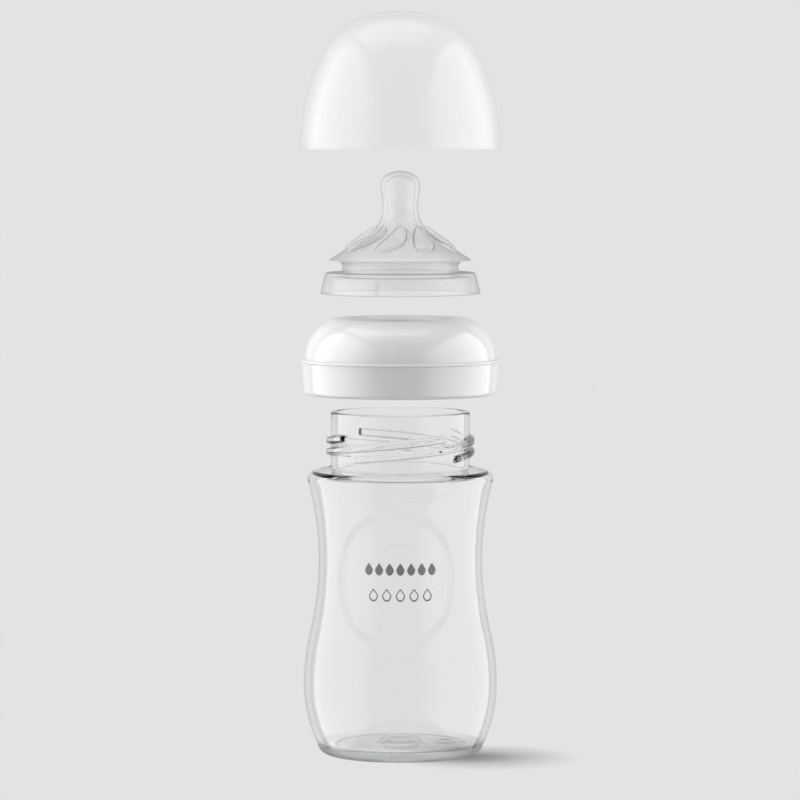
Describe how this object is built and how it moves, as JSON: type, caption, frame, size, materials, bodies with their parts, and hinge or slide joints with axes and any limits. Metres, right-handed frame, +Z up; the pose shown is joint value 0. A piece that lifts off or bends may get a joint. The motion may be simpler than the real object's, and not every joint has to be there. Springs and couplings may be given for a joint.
{
  "type": "baby bottle",
  "caption": "Wide-neck baby bottle in exploded layout: hourglass bottle, screw ring, silicone nipple and dome cap on one axis.",
  "frame": {"origin": "centre of the foot that the bottle stands on", "axes": "+Z up along the bottle's axis, -Y the front with the medallion, +X to the right seen from the front"},
  "size_m": [0.0724, 0.0724, 0.2679],
  "materials": {
    "clear_plastic": "clear, glossy polypropylene",
    "white_plastic": "white, high gloss",
    "silicone": "translucent silicone, soft satin",
    "cap_plastic": "clear, slightly milky, glossy"
  },
  "bodies": {
    "bottle": {"bottle": "clear_plastic"},
    "ring_lip": {"ring_lip": "white_plastic"},
    "screw_ring": {"screw_ring": "white_plastic"},
    "nipple": {"nipple": "silicone"},
    "dome_cap": {"dome_cap": "cap_plastic"}
  },
  "joints": [
    {"name": "ring_lift", "type": "slide", "parent": "bottle", "child": "ring_lip", "axis": [0, 0, 1], "range_m": [-0.02761, 0]},
    {"name": "ring_turn", "type": "hinge", "parent": "ring_lip", "child": "screw_ring", "pos_m": [0, 0, 0.1302], "axis": [0, 0, 1], "range_deg": [-621, 0]},
    {"name": "nipple_lift", "type": "slide", "parent": "ring_lip", "child": "nipple", "axis": [0, 0, 1], "range_m": [-0.021, 0], "deforming": ["nipple"]},
    {"name": "cap_lift", "type": "slide", "parent": "nipple", "child": "dome_cap", "axis": [0, 0, 1], "range_m": [-0.0546, 0]}
  ],
  "couplings": [
    {"joint": "ring_lift", "follows": "ring_turn", "m_per_rad": 0.0025465}
  ]
}
